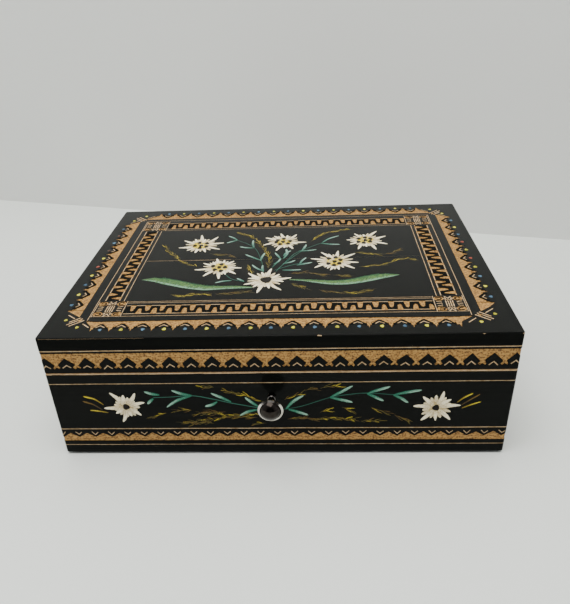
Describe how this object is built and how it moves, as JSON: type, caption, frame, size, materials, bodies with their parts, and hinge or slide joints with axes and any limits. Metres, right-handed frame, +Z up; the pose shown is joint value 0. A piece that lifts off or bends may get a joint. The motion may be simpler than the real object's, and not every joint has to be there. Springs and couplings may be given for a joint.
{
  "type": "lockable keepsake box",
  "caption": "Low wooden keepsake box with a hinged lid, black lacquer with carved and painted borders, a half-mortise lock and a removable key with a domed head.",
  "frame": {"origin": "middle of the face the box stands on, the underside of its pad", "axes": "+X to the right along the front, +Y to the hinges at the back, +Z up"},
  "size_m": [0.26, 0.2182, 0.0818],
  "materials": {
    "lacquered_wood": "satin black lacquer over softwood, carved through to the wood",
    "bottom_plywood": "unfinished birch plywood",
    "pad_felt": "thin pressed black felt",
    "hinge_brass": "stamped and lacquered",
    "lock_brass": "stamped and brushed",
    "works_steel": "bright drawn steel",
    "key_nickel": "polished nickel plate"
  },
  "bodies": {
    "base": {"base_front_panel": "lacquered_wood", "base_back_panel": "lacquered_wood", "base_left_panel": "lacquered_wood", "base_right_panel": "lacquered_wood", "bottom_board": "bottom_plywood", "base_pad": "pad_felt", "left_hinge_base_leaf": "hinge_brass", "right_hinge_base_leaf": "hinge_brass", "left_hinge_pin": "hinge_brass", "right_hinge_pin": "hinge_brass", "base_hinge_screws": "hinge_brass", "lock_plate": "lock_brass", "lock_cap": "lock_brass", "lock_pillars": "lock_brass", "bolt_spring": "works_steel", "lock_screws": "lock_brass"},
    "lid": {"lid_top_front_board": "lacquered_wood", "lid_top_rear_board": "lacquered_wood", "lid_front_rail": "lacquered_wood", "lid_back_rail": "lacquered_wood", "lid_left_rail": "lacquered_wood", "lid_right_rail": "lacquered_wood", "left_hinge_lid_leaf": "hinge_brass", "right_hinge_lid_leaf": "hinge_brass", "lid_hinge_screws": "hinge_brass", "strike_plate": "lock_brass", "strike_staple": "works_steel", "strike_screws": "lock_brass"},
    "drum": {"lock_drum": "works_steel", "drill_pin": "works_steel"},
    "bolt": {"lock_bolt": "works_steel"},
    "key": {"key_head": "key_nickel", "key_shank": "key_nickel", "key_bit": "key_nickel"}
  },
  "joints": [
    {"name": "lid_hinge", "type": "hinge", "parent": "base", "child": "lid", "pos_m": [0, 0.0975, 0.0589], "axis": [-1, 0, 0], "range_deg": [0, 100]},
    {"name": "key_turn", "type": "hinge", "parent": "base", "child": "drum", "pos_m": [-0.0032, -0.09375, 0.0424], "axis": [0, 1, 0], "range_deg": [0, 360]},
    {"name": "bolt_throw", "type": "slide", "parent": "base", "child": "bolt", "axis": [1, 0, 0], "range_m": [0, 0.006]},
    {"name": "key_out", "type": "slide", "parent": "drum", "child": "key", "axis": [0, -1, 0], "range_m": [0, 0.02]}
  ],
  "couplings": [
    {"joint": "bolt_throw", "follows": "key_turn", "m_per_rad": 0.000954}
  ]
}
